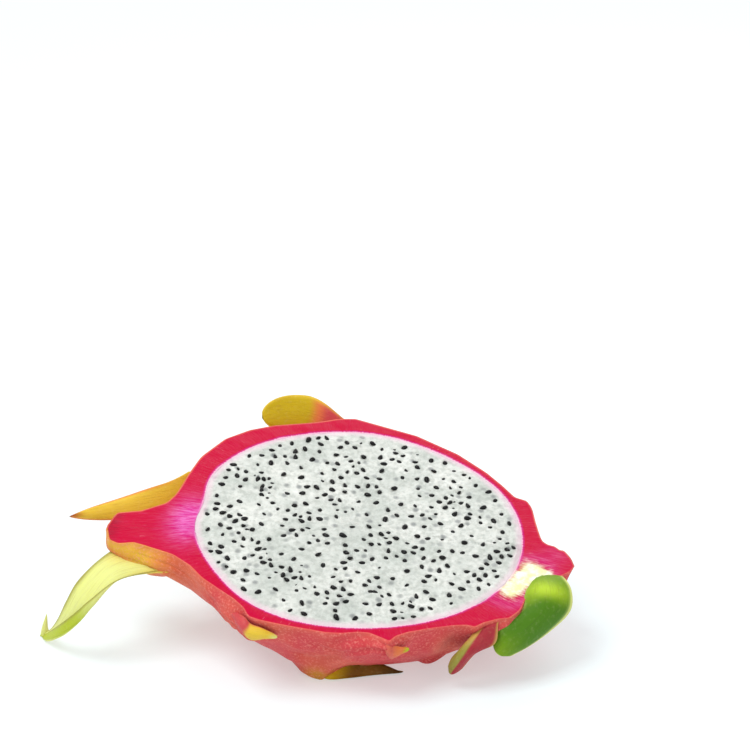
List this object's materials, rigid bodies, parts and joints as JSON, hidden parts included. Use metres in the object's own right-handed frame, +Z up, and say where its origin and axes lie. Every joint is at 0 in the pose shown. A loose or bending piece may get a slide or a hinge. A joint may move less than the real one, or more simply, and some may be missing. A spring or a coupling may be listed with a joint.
{
  "type": "halved dragon fruit",
  "caption": "Half of a white-fleshed dragon fruit lying on its scaly pink peel, cut face with dark seeds turned up.",
  "frame": {"origin": "middle of the bounding box, on the surface that the half rests on", "axes": "+X runs from the flower end to the stem end, +Y to the side of the cut face that is raised, +Z up"},
  "size_m": [0.1508, 0.0946, 0.0527],
  "materials": {
    "skin": "waxy, satin",
    "flesh": "moist, semi-gloss",
    "seed": "wet, glossy",
    "bract": "waxy, satin",
    "green": "waxy, satin"
  },
  "bodies": {
    "root": {"bract_back_high": "bract", "bract_back_low": "bract", "bract_back_stem": "bract", "bract_belly_crown": "bract", "bract_belly_stem": "bract", "bract_crown_back": "bract", "bract_crown_front": "bract", "bract_crown_under": "bract", "bract_front_belly": "bract", "bract_front_crown": "bract", "bract_front_middle": "bract", "bract_front_stem": "bract", "bract_neck_back": "bract", "bract_rim_back": "bract", "bract_stem_back": "bract", "bract_stem_green": "green", "flesh": "flesh", "peel": "skin", "seed_01": "seed", "seed_02": "seed", "seed_03": "seed", "seed_04": "seed", "seed_05": "seed", "seed_06": "seed", "seed_07": "seed", "seed_08": "seed", "seed_09": "seed", "seed_10": "seed", "seed_11": "seed", "seed_12": "seed", "seed_13": "seed", "seed_14": "seed", "seed_15": "seed", "seed_16": "seed", "seed_17": "seed", "seed_18": "seed", "seed_19": "seed", "seed_20": "seed", "seed_21": "seed", "seed_22": "seed", "seed_23": "seed", "seed_24": "seed", "seed_25": "seed", "seed_26": "seed", "seed_27": "seed", "seed_28": "seed", "seed_29": "seed", "seed_30": "seed"}
  },
  "joints": []
}
